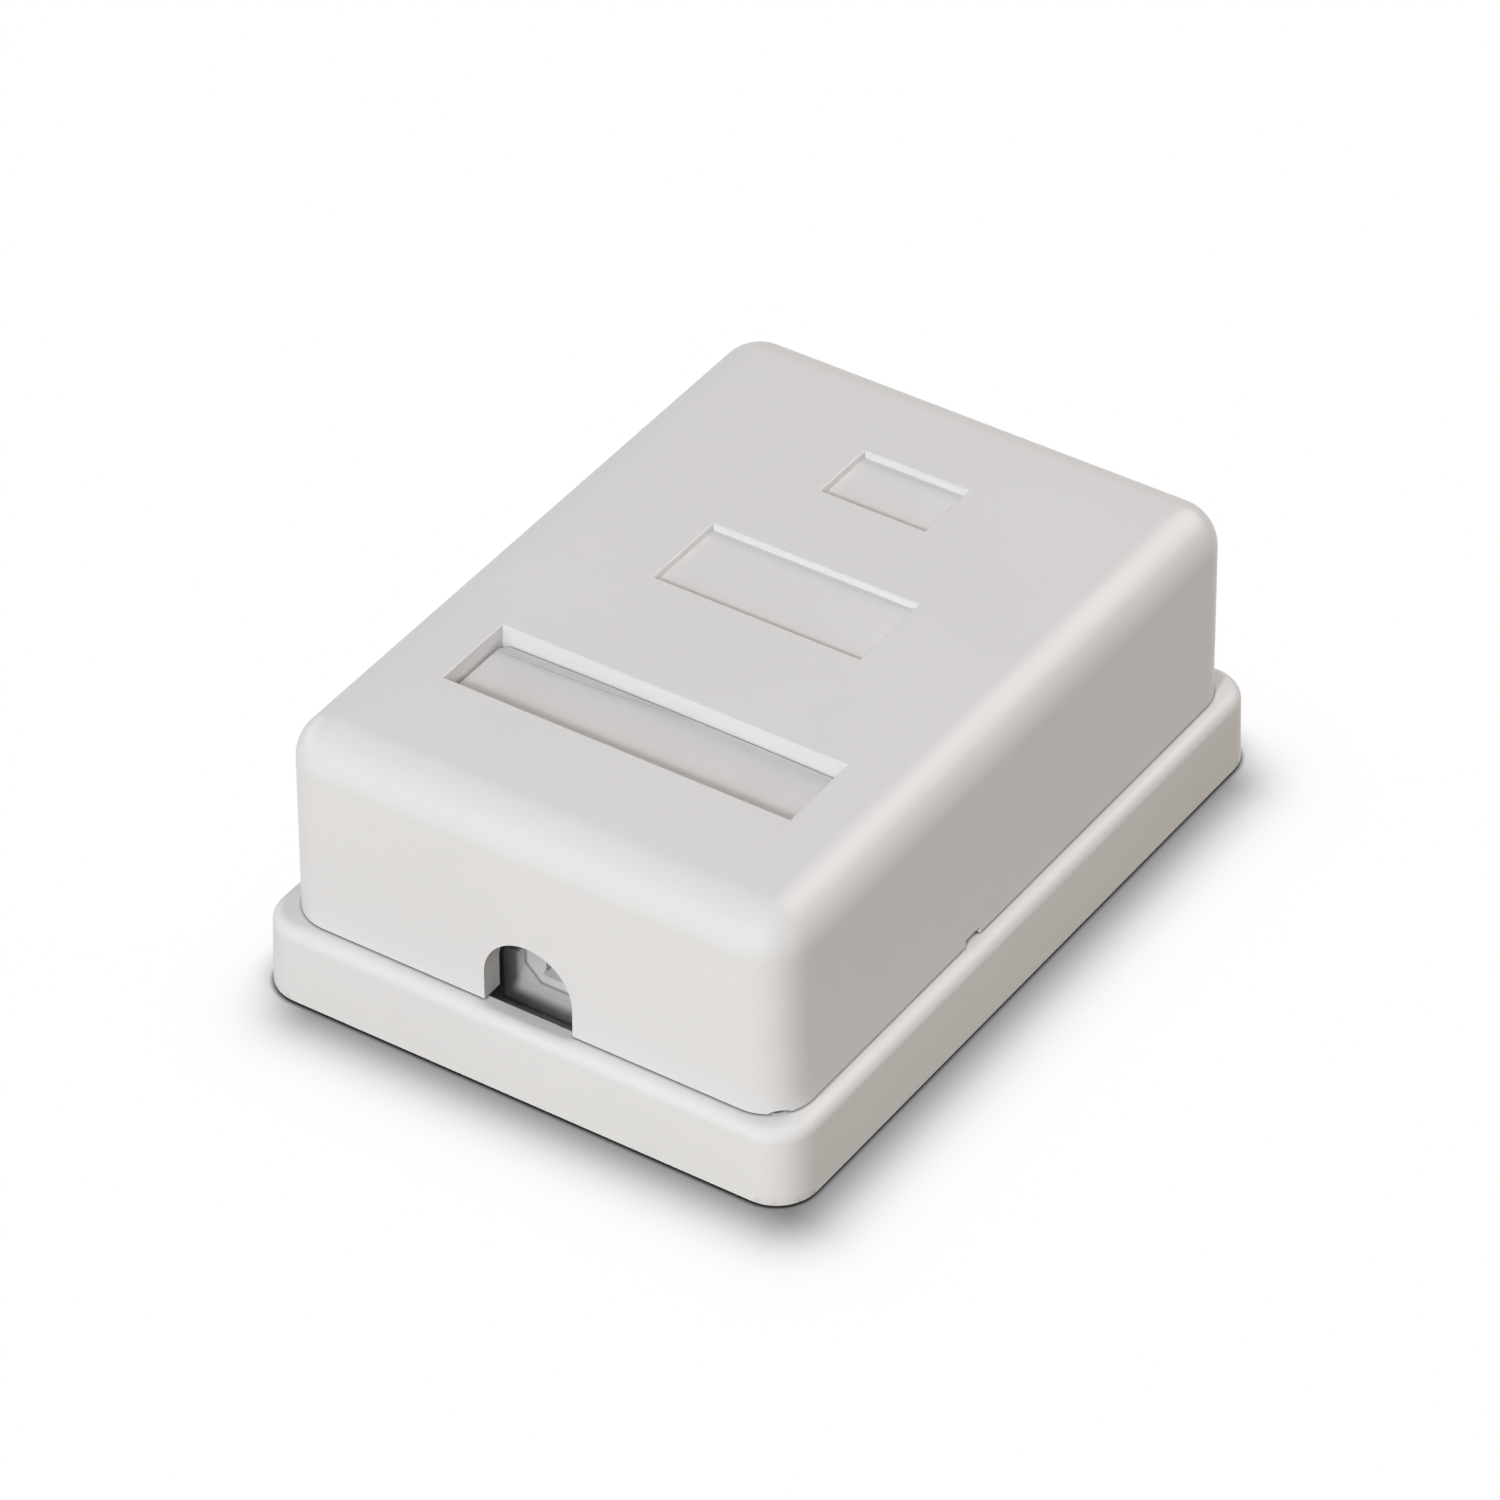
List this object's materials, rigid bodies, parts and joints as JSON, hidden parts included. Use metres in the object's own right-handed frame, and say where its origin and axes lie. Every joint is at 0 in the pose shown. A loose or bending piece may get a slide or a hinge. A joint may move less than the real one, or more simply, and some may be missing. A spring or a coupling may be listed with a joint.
{
  "type": "surface mount jack box",
  "caption": "Surface mount box for data cabling: base tray, domed cover with an arched cable entry and label window, modular jacks and wire terminals on a circuit board.",
  "frame": {"origin": "middle of the base's underside, on the wall face", "axes": "+Z away from the wall, +Y towards the jack ports, -Y towards the cable entry, X across the box"},
  "size_m": [0.049, 0.0672, 0.025],
  "materials": {
    "box_plastic": "fine satin, moulded white ABS",
    "tape_foam": "closed-cell foam tape",
    "screw_steel": "zinc plated",
    "card_paper": "smooth card",
    "window_clear": "clear glossy strip",
    "board_laminate": "green solder mask",
    "jack_plastic": "black moulded",
    "carrier_plastic": "black moulded",
    "contact_gold": "gold plated, polished",
    "terminal_plastic": "ivory moulded",
    "terminal_tin": "tinned bronze",
    "cap_plastic": "white moulded"
  },
  "bodies": {
    "housing": {"base": "box_plastic", "mounting_tape": "tape_foam", "circuit_board": "board_laminate", "board_screws": "screw_steel", "jack_housing_left": "jack_plastic", "jack_carrier_left": "carrier_plastic", "jack_contacts_left": "contact_gold", "terminal_block_left": "terminal_plastic", "terminal_contacts_left": "terminal_tin", "jack_housing_right": "jack_plastic", "jack_carrier_right": "carrier_plastic", "jack_contacts_right": "contact_gold", "terminal_block_right": "terminal_plastic", "terminal_contacts_right": "terminal_tin"},
    "cover": {"cover": "box_plastic", "cover_screw": "screw_steel", "label_card": "card_paper"},
    "window": {"label_window": "window_clear"},
    "cap_left": {"terminal_cap_left": "cap_plastic"},
    "cap_right": {"terminal_cap_right": "cap_plastic"}
  },
  "joints": [
    {"name": "cover_lift", "type": "slide", "parent": "housing", "child": "cover", "axis": [0, 0, 1], "range_m": [0, 0.03]},
    {"name": "window_lift", "type": "slide", "parent": "cover", "child": "window", "axis": [0, 0, 1], "range_m": [0, 0.008]},
    {"name": "cap_left_lift", "type": "slide", "parent": "housing", "child": "cap_left", "axis": [0, 0, 1], "range_m": [0, 0.0048]},
    {"name": "cap_right_lift", "type": "slide", "parent": "housing", "child": "cap_right", "axis": [0, 0, 1], "range_m": [0, 0.0048]}
  ]
}
